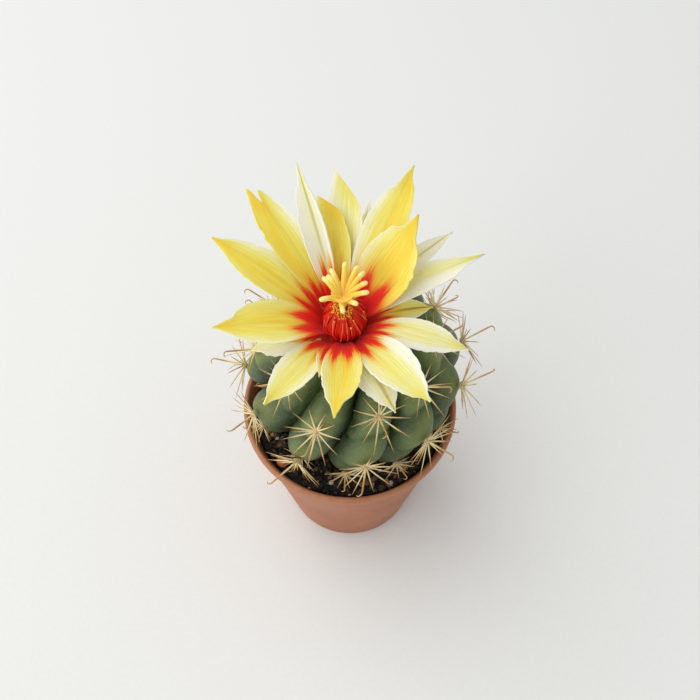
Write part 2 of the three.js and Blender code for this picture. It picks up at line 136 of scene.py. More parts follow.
turned(POT_OUTLINE, POT_SIDES)
pot = bpy.context.object
for hole in range(DRAIN_HOLES):
    turn = 2 * math.pi * (hole + 0.5) / DRAIN_HOLES
    bpy.ops.mesh.primitive_cylinder_add(
        vertices=32, radius=DRAIN_RADIUS * MM, depth=DRILL_DEPTH * MM,
        location=(DRAIN_CIRCLE * MM * math.cos(turn), DRAIN_CIRCLE * MM * math.sin(turn), 0))
    drill = bpy.context.object
    bpy.ops.object.select_all(action="DESELECT")
    pot.select_set(True)
    bpy.context.view_layer.objects.active = pot
    cut = pot.modifiers.new("drain", "BOOLEAN")
    cut.object = drill
    bpy.ops.object.modifier_apply(modifier=cut.name)
    bpy.data.objects.remove(drill)

# Polypropylene, moulded matt and coloured like fired clay: a broad weak shine, a fine eggshell
# grain from the mould, slightly cloudy colour, and a pale dusty bloom of lime under the lip.
pot_plastic, tree, where = new_finish("moulded_polypropylene")
cloud = add(tree, "TexNoise", {"Vector": where, "Scale": 55.0, "Detail": 4.0, "Roughness": 0.6})
colour = add(tree, "ValToRGB", {"Fac": cloud}, stops=[(0.3, "#9f5a33"), (0.55, "#ab653c"), (0.75, "#b57047")])
height = add(tree, "SeparateXYZ", {"Vector": where}).outputs["Z"]
lip = add(tree, "MapRange", {
    "Value": height, "From Min": 0.040, "From Max": 0.0505, "To Min": 0.0, "To Max": 0.34},
    interpolation_type="SMOOTHSTEP")
spots = add(tree, "TexNoise", {"Vector": where, "Scale": 420.0, "Detail": 5.0, "Roughness": 0.65})
dust = add(tree, "Math", {0: lip, 1: spots.outputs["Fac"]}, operation="MULTIPLY")
colour = add(tree, "Mix", {0: dust, 6: colour, 7: linear("#d9b79c")}, data_type="RGBA")
grain = add(tree, "TexNoise", {"Vector": where, "Scale": 2600.0, "Detail": 2.0})
bump = add(tree, "Bump", {"Height": grain, "Strength": 0.22, "Distance": 0.00008})
rough = add(tree, "MapRange", {"Value": spots, "To Min": 0.38, "To Max": 0.55})
shader = add(tree, "BsdfPrincipled", {
    "Base Color": colour, "Roughness": rough, "IOR": 1.49, "Specular IOR Level": 0.3, "Normal": bump})
add(tree, "OutputMaterial", {"Surface": shader})
smooth(40)
settle("moulded_pot", pot_plastic, "pot_plastic", "pot")

# ---------- soil ----------
# Dark peat potting mix, filled by hand to just under the lip, with a socket where the plant's
# root stands. Loose crumbs of peat, chips of composted bark and pale grit lie on its top.

SOIL_SIDES = 180
SOIL_EDGE = 24.8
SOIL_NECK = 13.3
SOIL_TOP = 46
RING_STEP = 0.46


def lump(x, y):
    """How far the top of the soil stands above its level, in mm, at a place in mm."""
    wide = noise.noise(Vector((x * 0.22, y * 0.22, 3.1)))
    fine = noise.noise(Vector((x * 0.75, y * 0.75, 8.4)))
    return 0.75 * wide + 0.55 * fine


outline = [(18, 1.55), (SOIL_EDGE, SOIL_TOP - 0.6)]
rings = round((SOIL_EDGE - SOIL_NECK) / RING_STEP)
for ring in range(1, rings + 1):
    outline.append((SOIL_EDGE - ring * RING_STEP, SOIL_TOP))
outline += [(8.55, 42.65), (5.45, 37.65), (2.65, 28.65), (0.6, 27.3)]
turned(outline, SOIL_SIDES)
soil = bpy.context.object
for corner in soil.data.vertices:
    if abs(corner.co.z + soil.location.z - SOIL_TOP * MM) < 0.01 * MM:
        x, y = corner.co.x / MM, corner.co.y / MM
        grit = noise.noise(Vector((x * 2.1, y * 2.1, 0.5)))
        corner.co.z += (lump(x, y) + 0.35 * grit) * MM

# Moist peat: nearly black brown, quite dull, with a faint wet sparkle on its finest crumbs.
peat, tree, where = new_finish("moist_peat")
clod = add(tree, "TexNoise", {"Vector": where, "Scale": 900.0, "Detail": 6.0, "Roughness": 0.7})
shade = add(tree, "Attribute", attribute_name="shade").outputs["Fac"]
tone = add(tree, "Math", {0: clod, 1: shade}, operation="MULTIPLY")
colour = add(tree, "ValToRGB", {"Fac": tone}, stops=[
    (0.04, "#120e0b"), (0.25, "#271c14"), (0.42, "#463324"), (0.56, "#7a5f48")])
bump = add(tree, "Bump", {"Height": clod, "Strength": 0.9, "Distance": 0.0004})
rough = add(tree, "MapRange", {"Value": clod, "To Min": 0.55, "To Max": 0.95})
shader = add(tree, "BsdfPrincipled", {"Base Color": colour, "Roughness": rough, "Normal": bump})
add(tree, "OutputMaterial", {"Surface": shader})
smooth(60)
settle("peat_bed", peat, "soil", "soil")


def stand(name, corners, faces, **marks):
    """Makes the active object from corners and faces. Each mark is a value for every corner."""
    mesh = bpy.data.meshes.new(name)
    mesh.from_pydata(corners, [], faces)
    for mark, values in marks.items():
        mesh.attributes.new(mark, "FLOAT", "POINT").data.foreach_set("value", values)
    piece = bpy.data.objects.new(name, mesh)
    bpy.context.scene.collection.objects.link(piece)
    bpy.ops.object.select_all(action="DESELECT")
    piece.select_set(True)
    bpy.context.view_layer.objects.active = piece


def taken():
    """Takes the active object away, and returns its corners and faces as a pattern to copy."""
    piece = bpy.context.object
    bpy.ops.object.transform_apply(location=True, rotation=True, scale=True)
    corners = [corner.co.copy() for corner in piece.data.vertices]
    faces = [tuple(face.vertices) for face in piece.data.polygons]
    bpy.data.objects.remove(piece)
    return corners, faces


# One crumb is modelled as a knocked-about ball, and one chip as a bevelled sliver.
bpy.ops.mesh.primitive_ico_sphere_add(subdivisions=2, radius=1)
for corner in bpy.context.object.data.vertices:
    corner.co *= 1 + 0.5 * noise.noise(corner.co * 1.7)
CRUMB = taken()
bpy.ops.mesh.primitive_cube_add(size=1.4)
bpy.ops.object.mode_set(mode="EDIT")
bpy.ops.mesh.bevel(offset=0.3, segments=1, affect="EDGES")
bpy.ops.object.mode_set(mode="OBJECT")
for corner in bpy.context.object.data.vertices:
    corner.co += 0.22 * noise.noise_vector(corner.co * 1.3)
CHIP = taken()
TIP = 0.6       # how far a crumb may lean, in radians


def strewn(name, pattern, count, sizes, shape, material, seed):
    """Copies a pattern many times over the top of the soil, at random sizes and turns."""
    draw = random.Random(seed)
    corners, faces, shades = [], [], []
    for _ in range(count):
        size = sizes[0] + (sizes[1] - sizes[0]) * draw.random() ** 2
        out = math.sqrt(draw.uniform((SOIL_NECK - 1) ** 2, (SOIL_EDGE - size * 0.7) ** 2))
        turn = draw.uniform(0, 2 * math.pi)
        x, y = out * math.sin(turn), -out * math.cos(turn)
        spin = Matrix.Rotation(draw.uniform(0, 2 * math.pi), 3, "Z")
        tip = Matrix.Rotation(draw.uniform(-TIP, TIP), 3, "X")
        tip = tip @ Matrix.Rotation(draw.uniform(-TIP, TIP), 3, "Y")
        stretch = Matrix.Diagonal([axis * draw.uniform(0.75, 1.25) for axis in shape])
        place = Vector((x, y, SOIL_TOP + lump(x, y) + size * draw.uniform(0.15, 0.55)))
        start = len(corners)
        shade = draw.random()
        for corner in pattern[0]:
            corners.append((place + spin @ tip @ stretch @ corner * size) * MM)
            shades.append(shade)
        faces += [tuple(start + i for i in face) for face in pattern[1]]
    stand(name, corners, faces, shade=shades)
    smooth(35)
    settle(name, material, "soil")


strewn("peat_crumbs", CRUMB, 1150, (0.34, 1.25), (1, 0.85, 0.7), peat, 3)

# Composted bark: reddish to tan brown, dry and matt, with darker streaks of a millimetre.
bark, tree, where = new_finish("composted_bark")
streak = add(tree, "TexNoise", {"Vector": where, "Scale": 1100.0, "Detail": 4.0, "Distortion": 1.5})
shade = add(tree, "Attribute", attribute_name="shade").outputs["Fac"]
tone = add(tree, "Math", {0: streak, 1: 0.55}, operation="MULTIPLY")
tone = add(tree, "Math", {0: shade, 1: 0.7, 2: tone}, operation="MULTIPLY_ADD")
colour = add(tree, "ValToRGB", {"Fac": tone}, stops=[
    (0.15, "#33231a"), (0.45, "#6a4a35"), (0.75, "#9c7555"), (1.0, "#c29d76")])
bump = add(tree, "Bump", {"Height": streak, "Strength": 0.7, "Distance": 0.0002})
shader = add(tree, "BsdfPrincipled", {"Base Color": colour, "Roughness": 0.85, "Normal": bump})
add(tree, "OutputMaterial", {"Surface": shader})
strewn("bark_chips", CHIP, 320, (0.45, 1.5), (1.3, 0.8, 0.55), bark, 7)

# Sharp sand and perlite: pale grey to cream grains that stay matt, with a few rust-stained ones.
grit, tree, where = new_finish("sand_and_perlite")
pits = add(tree, "TexNoise", {"Vector": where, "Scale": 2600.0, "Detail": 3.0})
shade = add(tree, "Attribute", attribute_name="shade").outputs["Fac"]
colour = add(tree, "ValToRGB", {"Fac": shade}, stops=[
    (0.0, "#5d5148"), (0.45, "#8d7b68"), (0.8, "#b9a78e"), (1.0, "#d8d0c0")])
bump = add(tree, "Bump", {"Height": pits, "Strength": 0.6, "Distance": 0.00012})
shader = add(tree, "BsdfPrincipled", {"Base Color": colour, "Roughness": 0.8, "Normal": bump})
add(tree, "OutputMaterial", {"Surface": shader})
strewn("grit", CRUMB, 120, (0.28, 0.75), (1, 0.9, 0.75), grit, 19)

# ---------- clay pebble ----------
# A crumb of baked clay aggregate, fired orange and porous, lying loose on the soil.

PEBBLE_TURN = math.radians(-46)
PEBBLE_OUT = 23.5
PEBBLE_HEIGHT = 47.64
PEBBLE_RADIUS = 1.3
PEBBLE_SHAPE = Matrix.Diagonal((1.2, 0.9, 0.7))
bpy.ops.mesh.primitive_ico_sphere_add(subdivisions=4, radius=PEBBLE_RADIUS * MM)
pebble = bpy.context.object
for corner in pebble.data.vertices:
    point = corner.co / MM
    point *= 1 + 0.16 * noise.noise(point * 1.1) + 0.05 * noise.noise(point * 4)
    corner.co = PEBBLE_SHAPE @ point * MM
pebble.rotation_euler.z = PEBBLE_TURN
pebble.location = (
    PEBBLE_OUT * MM * math.sin(PEBBLE_TURN), -PEBBLE_OUT * MM * math.cos(PEBBLE_TURN),
    PEBBLE_HEIGHT * MM)

# Baked clay: orange earthenware with a dusty face, open pores of 0.2 mm and sooty patches.
clay, tree, where = new_finish("baked_clay")
patch = add(tree, "TexNoise", {"Vector": where, "Scale": 700.0, "Detail": 5.0})
colour = add(tree, "ValToRGB", {"Fac": patch}, stops=[
    (0.32, "#7d4023"), (0.5, "#b9632f"), (0.75, "#c9824f")])
pores = add(tree, "TexVoronoi", {"Vector": where, "Scale": 3200.0})
bump = add(tree, "Bump", {"Height": pores, "Strength": 0.6, "Distance": 0.0001})
shader = add(tree, "BsdfPrincipled", {"Base Color": colour, "Roughness": 0.85, "Normal": bump})
add(tree, "OutputMaterial", {"Surface": shader})
smooth(50)
settle("clay_crumb", clay, "baked_clay", "clay_pebble")

# ---------- plant body ----------
# A low globe of soft green flesh, grown in one piece: eleven ribs cut into chin-like bumps,
# each carrying an areole, with deep creases between them and a stub of root in the soil.

BODY_CENTRE = 62
BODY_RADIUS = 26
BODY_UP = 20.5
BODY_DOWN = 18
BODY_SHIFT = (1.3, 2)
RIBS = 11
FIRST_RIB = 5            # degrees
RIB_TWIST = 9            # degrees from one row of areoles to the next
RIB_LIFTS = [0, 0.1, 0.3, 0.1, -0.2, 0.15, 0.3, -0.1, -0.2, 0.15, -0.3]
VALLEY_DEPTH = 6
NOTCH_DEPTH = 3
SOIL_LEVEL = -1.65
TOP_LEVEL = 2.67
DIMPLE_DEPTH = 7
DIMPLE_RADIUS = 6.5
FLOWER_MOUTH = Vector((-1.5, 0.6, 82))
ROOT = [(0, 28), (2.3, 29), (5.1, 38), (8.2, 43)]
ROOT_SHARE = 0.1         # part of the mesh's rings that the root takes
BODY_SIDES = RIBS * 26
BODY_RINGS = 150
SWELL = 0.16             # how far soft, broad swellings lift the skin


def ease(value, low, high):
    """0 below low, 1 above high, and a smooth rise between them."""
    t = min(max((value - low) / (high - low), 0), 1)
    return t * t * (3 - 2 * t)


def grown(rib, level):
    """Tilt and turn, in radians, and half height of the body at a rib number and a level."""
    whole = math.floor(rib)
    part = rib - whole
    lift = RIB_LIFTS[whole % RIBS] * (1 - part) + RIB_LIFTS[(whole + 1) % RIBS] * part
    height = level + lift * ease(level, SOIL_LEVEL, -0.7) * (1 - ease(level, 1.1, 2))
    tilt = math.radians(min(3 + 38.5 * height - 2.2 * max(0, height) ** 2, 90))
    turn = math.radians(FIRST_RIB + 360 / RIBS * rib + RIB_TWIST * height)
    return tilt, turn, BODY_UP if tilt > 0 else BODY_DOWN


def creases(rib, level):
    """How far off its rib's crest and its areole a place is, each from 0 to 1."""
    return abs(rib - round(rib)) * 2, abs(level - round(level)) * 2


def skin(rib, level):
    """The point of the skin, in mm, at a rib number and a level. Whole numbers are areoles."""
    tilt, turn, up = grown(rib, level)
    rising = ease(level, SOIL_LEVEL, SOIL_LEVEL + 0.6)
    off_crest, off_areole = creases(rib, level)
    valley = VALLEY_DEPTH * math.cos(tilt) * off_crest ** 2.6
    notch = NOTCH_DEPTH * math.cos(tilt) * off_areole ** 2 * (1 - 0.6 * off_crest)
    growth = 0.3 * math.sin(3 * turn + 1.3 * level) - 0.9 * math.sin(2 * turn + 0.7)
    inward = (valley + notch - growth * math.cos(tilt)) * rising
    normal = Vector((math.cos(tilt) / BODY_RADIUS, math.sin(tilt) / up)).normalized()
    radius = BODY_RADIUS * math.cos(tilt) - inward * normal.x
    height = BODY_CENTRE + up * math.sin(tilt) - inward * normal.y
    lean = ease(height, SOIL_TOP + 1, BODY_CENTRE)
    x = radius * math.sin(turn) + BODY_SHIFT[0] * lean
    y = -radius * math.cos(turn) + BODY_SHIFT[1] * lean
    if tilt > 0:
        off_flower = math.hypot(x - FLOWER_MOUTH.x, y - FLOWER_MOUTH.y)
        height -= DIMPLE_DEPTH * math.exp(-(off_flower / DIMPLE_RADIUS) ** 2)
    return Vector((x, y, height))


bpy.ops.mesh.primitive_uv_sphere_add(segments=BODY_SIDES, ring_count=BODY_RINGS, radius=1)
body = bpy.context.object
crease_shade_marks, level_marks = [], []
for corner in body.data.vertices:
    share = math.asin(min(max(corner.co.z, -1), 1)) / math.pi + 0.5
    rib = (math.atan2(corner.co.x, -corner.co.y) / (2 * math.pi) % 1) * RIBS
    level = SOIL_LEVEL + (TOP_LEVEL - SOIL_LEVEL) * max(share - ROOT_SHARE, 0) / (1 - ROOT_SHARE)
    point = skin(rib, level)
    if share < ROOT_SHARE:
        step = share / ROOT_SHARE * len(ROOT)
        below, part = int(step), step % 1
        low = ROOT[below]
        neck = math.hypot(point.x, point.y), point.z
        high = ROOT[below + 1] if below + 1 < len(ROOT) else neck
        turn = math.atan2(point.x, -point.y)
        radius = low[0] * (1 - part) + high[0] * part
        height = low[1] * (1 - part) + high[1] * part
        point = Vector((radius * math.sin(turn), -radius * math.cos(turn), height))
    off_crest, off_areole = creases(rib, level)
    # Painted shade mark: 0 on a rib's crest by its areole, rising toward 1 in the creases between ribs and
    # the notches between bumps.
    crease_shade_marks.append(min(off_crest ** 2.4 + 0.5 * off_areole ** 2.4 * (1 - 0.5 * off_crest), 1))
    level_marks.append(level)
    away = (point - Vector((*BODY_SHIFT, BODY_CENTRE))).normalized()
    point += SWELL * noise.noise(point * 0.35) * away
    corner.co = point * MM
body.data.attributes.new("crease", "FLOAT", "POINT").data.foreach_set("value", crease_shade_marks)
body.data.attributes.new("level", "FLOAT", "POINT").data.foreach_set("value", level_marks)

# Cactus skin: a tough waxy film over wet flesh. Grey-green on the bumps, with painted shade that
# darkens the creases and the lower half; corky and brownish low down, with breathing pores of 0.2 mm.
flesh, tree, where = new_finish("waxy_cactus_skin")
crease = add(tree, "Attribute", attribute_name="crease").outputs["Fac"]
level = add(tree, "Attribute", attribute_name="level").outputs["Fac"]
mottle = add(tree, "TexNoise", {"Vector": where, "Scale": 160.0, "Detail": 5.0, "Roughness": 0.6})
shift = add(tree, "MapRange", {"Value": mottle, "To Min": -0.3, "To Max": 0.3})
# Painted shade: the skin colour runs from grey-green on the crests to near-black green deep in the creases.
deep = add(tree, "Math", {0: crease, 1: shift}, operation="ADD")
colour = add(tree, "ValToRGB", {"Fac": deep}, stops=[
    (0.0, "#7f8a4e"), (0.28, "#55663c"), (0.6, "#35462a"), (1.0, "#1e2a16")])
patch = add(tree, "TexNoise", {"Vector": where, "Scale": 75.0, "Detail": 3.0, "Distortion": 0.6})
sunlit = add(tree, "MapRange", {
    "Value": patch, "From Min": 0.5, "From Max": 0.68, "To Min": 0.0, "To Max": 0.42})
colour = add(tree, "Mix", {0: sunlit, 6: colour, 7: linear("#7d9450")}, data_type="RGBA")
wax = add(tree, "TexNoise", {"Vector": where, "Scale": 420.0, "Detail": 6.0, "Roughness": 0.7})
bloom = add(tree, "MapRange", {
    "Value": wax, "From Min": 0.45, "From Max": 0.75, "To Min": 0.0, "To Max": 0.24})
colour = add(tree, "Mix", {0: bloom, 6: colour, 7: linear("#929e6b")}, data_type="RGBA")
# Painted shade: the skin gets darker from a little above the body's widest part down toward the soil.
shade = add(tree, "MapRange", {
    "Value": level, "From Min": 0.6, "From Max": -0.7, "To Min": 0.0, "To Max": 0.6})
colour = add(tree, "Mix", {0: shade, 6: colour, 7: linear("#37452a")}, data_type="RGBA")
low = add(tree, "MapRange", {
    "Value": level, "From Min": -1.0, "From Max": -1.6, "To Min": 0.0, "To Max": 0.75})
colour = add(tree, "Mix", {0: low, 6: colour, 7: linear("#5b4a31")}, data_type="RGBA")
pores = add(tree, "TexVoronoi", {"Vector": where, "Scale": 2300.0})
speck = add(tree, "MapRange", {
    "Value": pores, "From Min": 0.1, "From Max": 0.28, "To Min": 0.35, "To Max": 0.0})
colour = add(tree, "Mix", {0: speck, 6: colour, 7: linear("#a3ad8b")}, data_type="RGBA")
relief = add(tree, "Math", {0: wax, 1: 1.6, 2: pores.outputs["Distance"]}, operation="MULTIPLY_ADD")
bump = add(tree, "Bump", {"Height": relief, "Strength": 0.35, "Distance": 0.00015})
rough = add(tree, "MapRange", {"Value": wax, "To Min": 0.36, "To Max": 0.6})
shader = add(tree, "BsdfPrincipled", {
    "Base Color": colour, "Roughness": rough, "IOR": 1.42, "Normal": bump, "Subsurface Weight": 0.12,
    "Subsurface Scale": 0.0015, "Subsurface Radius": (0.5, 1.0, 0.3)})
add(tree, "OutputMaterial", {"Surface": shader})
smooth(80)
settle("ribbed_body", flesh, "cactus_skin", "cactus_body")

# ---------- spines and areole wool ----------
# Each bump ends in an areole: a felted pad from which a star of stiff straw-coloured spines
# grows, lying near the skin, and one longer hooked spine that stands out of its middle.

PAD_LIFT = 0.85
RADIALS = 11
FINE_RADIALS = 4
FINE_STEP = 3.5          # in steps of the radial spines: every other one stands between two
FINE_LENGTH = 0.7        # as a share of a radial spine's length
FLAT_GAIN = 60           # degrees of flatness that would double the spines at a star's sides
HOOK_START = 0.76        # where, along its length, a hooked spine starts to curl
HOOK_RADIUS = 0.085      # as a share of its length
HOOK_CURL = math.radians(165)
PAD_SIZE = 0.95
PAD_HAIRS = 34
# Each row: the level of its areoles, the length of its spines and how many times that the downward
# ones have, their rise off the skin and how much flatter the side ones lie, in degrees, the length
# of the hooked spine, and how far that one leans up.
SPINE_ROWS = [
    {"word": "low", "level": -1, "reach": 5.8, "below": 0.5, "spread": 25, "flat": 18,
     "hook": 5.2, "lift": 1.6},
    {"word": "middle", "level": 0, "reach": 8, "below": 1.1, "spread": 19, "flat": 0,
     "hook": 8.6, "lift": 0.3},
    {"word": "high", "level": 1, "reach": 7.2, "below": 1.15, "spread": 22, "flat": 0,
     "hook": 8, "lift": -0.25}]


def chance(a, b):
    """A steady pseudo-random value from 0 to 1 for a pair of whole numbers."""
    value = math.sin(a * 12.9898 + b * 78.233 + 4.1) * 43758.5453
    return value - math.floor(value)


def areole(rib, level):
    """The middle of an areole, and its outward, sideways and upward directions."""
    tilt, turn, up = grown(rib, level)
    slope = Vector((math.cos(tilt) / BODY_RADIUS, math.sin(tilt) / up)).normalized()
    outward = Vector((slope.x * math.sin(turn), -slope.x * math.cos(turn), slope.y))
    sideways = Vector((math.cos(turn), math.sin(turn), 0))
    return skin(rib, level) + outward * PAD_LIFT, outward, sideways, outward.cross(sideways)


def rod(outline, sides):
    """A pattern for one rod: rings of the given radius in mm at heights from 0 to 1."""
    turned(outline, sides)
    corners, faces = taken()
    return [corner / MM for corner in corners], faces


def laid(pattern, path, across, thick, store):
    """Adds a rod laid along a path to a store of corners, faces and marks."""
    start = len(store["corners"])
    for corner in pattern[0]:
        here = path(corner.z)
        along = (path(corner.z + 0.02) - here).normalized()
        side = across.cross(along).normalized()
        other = along.cross(side)
        store["corners"].append((here + (side * corner.x + other * corner.y) * thick) * MM)
        store["along"].append(corner.z)
    store["faces"] += [tuple(start + i for i in face) for face in pattern[1]]


def empty_store():
    return {"corners": [], "faces": [], "along": []}


SPINE = rod([(0.21, 0), (0.2, 0.12), (0.165, 0.4), (0.12, 0.7), (0.065, 0.9), (0.012, 1)], 6)
HOOK = rod([(0.25, 0), (0.235, 0.15), (0.21, 0.5), (0.18, 0.72), (0.165, 0.78), (0.155, 0.82), (0.14, 0.86),
            (0.12, 0.9), (0.1, 0.94), (0.065, 0.975), (0.012, 1)], 7)
HAIR = rod([(0.05, 0), (0.01, 1)], 3)

# Spine: dry horny fibre like a broom straw. Cream and a little glassy near the pad, straw along
# its length, and browner toward the point; the hooked ones are browner all over.
horn, tree, where = new_finish("horny_spine")
along = add(tree, "Attribute", attribute_name="along").outputs["Fac"]
vary = add(tree, "TexNoise", {"Vector": where, "Scale": 260.0, "Detail": 2.0})
tone = add(tree, "Math", {0: vary, 1: 0.5, 2: along}, operation="MULTIPLY_ADD")
colour = add(tree, "ValToRGB", {"Fac": tone}, stops=[
    (0.15, "#dfc384"), (0.5, "#f0deaf"), (0.85, "#e4c78e"), (1.0, "#c2965c")])
shader = add(tree, "BsdfPrincipled", {
    "Base Color": colour, "Roughness": 0.42, "IOR": 1.54, "Subsurface Weight": 0.15,
    "Subsurface Scale": 0.0006, "Subsurface Radius": (1.0, 0.7, 0.4)})
add(tree, "OutputMaterial", {"Surface": shader})

# Areole felt: matted cream to tan plant hair, dull, with a soft edge from its loose fibres.
felt, tree, where = new_finish("areole_felt")
mat_noise = add(tree, "TexNoise", {"Vector": where, "Scale": 3000.0, "Detail": 4.0, "Distortion": 2.0})
colour = add(tree, "ValToRGB", {"Fac": mat_noise}, stops=[
    (0.3, "#a98754"), (0.5, "#d3b27a"), (0.72, "#eedfb8")])
bump = add(tree, "Bump", {"Height": mat_noise, "Strength": 0.8, "Distance": 0.00015})
shader = add(tree, "BsdfPrincipled", {
    "Base Color": colour, "Roughness": 0.95, "Normal": bump, "Sheen Weight": 0.4, "Sheen Roughness": 0.5})
add(tree, "OutputMaterial", {"Surface": shader})

# One pad is modelled as a squashed woolly ball.
bpy.ops.mesh.primitive_ico_sphere_add(subdivisions=3, radius=1)
for corner in bpy.context.object.data.vertices:
    corner.co *= 1 + 0.22 * noise.noise(corner.co * 2.6)
    corner.co.z *= 0.6
PAD = taken()


def wool(middle, outward, sideways, upward, size, seed, store):
    """Adds one pad of felt with loose hairs round it to a store."""
    draw = random.Random(seed)
    start = len(store["corners"])
    for corner in PAD[0]:
        point = middle + (sideways * corner.x + upward * corner.y + outward * corner.z) * size
        store["corners"].append(point * MM)
        store["along"].append(0.5)
    store["faces"] += [tuple(start + i for i in face) for face in PAD[1]]
    for _ in range(PAD_HAIRS):
        turn = draw.uniform(0, 2 * math.pi)
        flat = sideways * math.cos(turn) + upward * math.sin(turn)
        rise = draw.uniform(0.15, 1.2)
        lean = flat * math.cos(rise) + outward * math.sin(rise)
        curl = sideways * draw.uniform(-0.5, 0.5) + upward * draw.uniform(-0.5, 0.5)
        reach = size * draw.uniform(1.2, 1.75)
        laid(HAIR, lambda h: middle + lean * reach * h + curl * reach * h * h, outward + flat, 1, store)


for row in SPINE_ROWS:
    pads = empty_store()
    for rib in range(RIBS):
        middle, outward, sideways, upward = areole(rib, row["level"])
        wool(middle, outward, sideways, upward, PAD_SIZE, rib + 40 * row["level"], pads)
        spines = empty_store()
        step = 2 * math.pi / RADIALS
        for i in range(RADIALS + FINE_RADIALS):
            fine = i >= RADIALS
            turn = step * (i * (FINE_STEP if fine else 1) + chance(rib, row["level"] + 3))
            below = (1 - math.sin(turn)) / 2
            length = row["reach"] * (0.9 + (row["below"] - 0.9) * below) * (0.88 + 0.2 * chance(i, rib))
            length *= 1 + row["flat"] / FLAT_GAIN * math.cos(turn) ** 2
            length *= FINE_LENGTH if fine else 1
            spread = row["spread"] + 10 * (chance(rib, i + 7) - 0.5)
            spread = math.radians(spread - row["flat"] * (1 - abs(math.sin(turn))))
            flat = sideways * math.cos(turn) + upward * math.sin(turn)
            lean = flat * math.cos(spread) + outward * math.sin(spread)
            sway = flat.cross(outward) * (chance(i, rib + 5) - 0.5) * 0.12 - outward * 0.05
            path = (lambda h, lean=lean, sway=sway, length=length:
                    middle + lean * (length * h) + sway * (length * h * h))
            laid(SPINE, path, outward, (0.6 if fine else 0.85) + 0.3 * chance(i + 3, rib), spines)
        shaft = outward + upward * row["lift"] + sideways * 0.9 * (chance(rib, row["level"] + 9) - 0.5)
        shaft.normalize()
        bend = sideways * (1 if chance(rib, 3) < 0.5 else -1) - upward * 0.6
        bend = (bend - shaft * bend.dot(shaft)).normalized()

        def hooked(h, shaft=shaft, bend=bend, length=row["hook"]):
            """Straight for its first three quarters, then round almost a half circle."""
            curl = max(h - HOOK_START, 0) / (1 - HOOK_START) * HOOK_CURL
            forward = min(h, HOOK_START) / HOOK_START * 0.9 + HOOK_RADIUS * math.sin(curl)
            aside = HOOK_RADIUS * (1 - math.cos(curl))
            return middle + shaft * (length * forward) + bend * (length * aside)

        laid(HOOK, hooked, shaft.cross(bend), 1, spines)
        straight = len(SPINE[0]) * (RADIALS + FINE_RADIALS)
        marks = [along + 0.25 if i >= straight else along for i, along in enumerate(spines["along"])]
        stand("spines", spines["corners"], spines["faces"], along=marks)
        smooth(60)
        number = f"{rib + 1:02d}"
        settle(f"star_{row['word']}_{number}", horn, "spine", f"spines_{row['word']}_{number}")
    stand("pads", pads["corners"], pads["faces"])
    smooth(60)
    settle(f"areole_felt_{row['word']}", felt, "areole_wool")

# ---------- crown ----------
# Round the growing point the youngest areoles crowd together, and their wool runs into one
# cream ring from which short soft spines stand up.

CROWN_LEVEL = 2
CROWN_PAD = 1.15
FILLING_PAD = 0.85       # the pads that fill the ring between those of the ribs
tufts, bristles = empty_store(), empty_store()
for part in range(RIBS * 3):
    middle, outward, sideways, upward = areole(part / 3, CROWN_LEVEL)
    if part % 3 == 0:
        wool(middle, outward, sideways, upward, CROWN_PAD, 300 + part, tufts)
        for side in (-0.8, -0.35, 0.1, 0.5, 0.9):
            tip = sideways * (3 * side) - upward * 3 + outward * 1.7
            laid(SPINE, lambda h: middle + tip * h - outward * (0.5 * h * h), sideways, 0.8, bristles)
    else:
        near = areole(round(part / 3), CROWN_LEVEL)[0]
        middle = (middle + near) / 2
        wool(middle, outward, sideways, upward, FILLING_PAD, 300 + part, tufts)
stand("tufts", tufts["corners"], tufts["faces"])
smooth(60)
settle("crown_tufts", felt, "areole_wool", "crown_wool")
stand("bristles", bristles["corners"], bristles["faces"], along=bristles["along"])
smooth(60)
settle("crown_bristles", horn, "spine")

# ---------- flower tube ----------
# A short fleshy cup that carries the petals and nods a little to the front. It is living
# tissue, green below and yellower toward its mouth, with ten shallow lobes round its rim.

FLOWER_TILT = math.radians(14)
FLOWER = Matrix.Translation(FLOWER_MOUTH * MM) @ Matrix.Rotation(FLOWER_TILT, 4, "X")
TUBE_SIDES = 64
TUBE_LOBES = 10
MOUTH_RADIUS = 3.3       # just outside the hole: the lobes start here
MOUTH_DEPTH = 0.15       # how far down the open face counts
turned([
    (0.5, -5), (2, -5), (2.6, -4.3), (2.9, -3.4), (3.7, -2.1), (4.48, -1), (5.2, -0.62), (5.6, -0.4),
    (5.68, -0.2), (5.6, 0), (3.25, 0), (3.1, -0.1), (2.8, -1.6), (2.4, -1.9), (0.5, -2)], TUBE_SIDES)
tube = bpy.context.object
bpy.ops.object.transform_apply(location=True)
for corner in tube.data.vertices:
    turn = math.atan2(corner.co.y, corner.co.x)
    radius = math.hypot(corner.co.x, corner.co.y)
    if radius > MOUTH_RADIUS * MM:
        swell = 1 - 0.05 * (0.5 - 0.5 * math.cos(TUBE_LOBES * turn))
        corner.co.x *= swell
        corner.co.y *= swell
mouth_marks = [float(corner.co.z > -MOUTH_DEPTH * MM) for corner in tube.data.vertices]
tube.data.attributes.new("mouth", "FLOAT", "POINT").data.foreach_set("value", mouth_marks)
tube.data.transform(FLOWER)

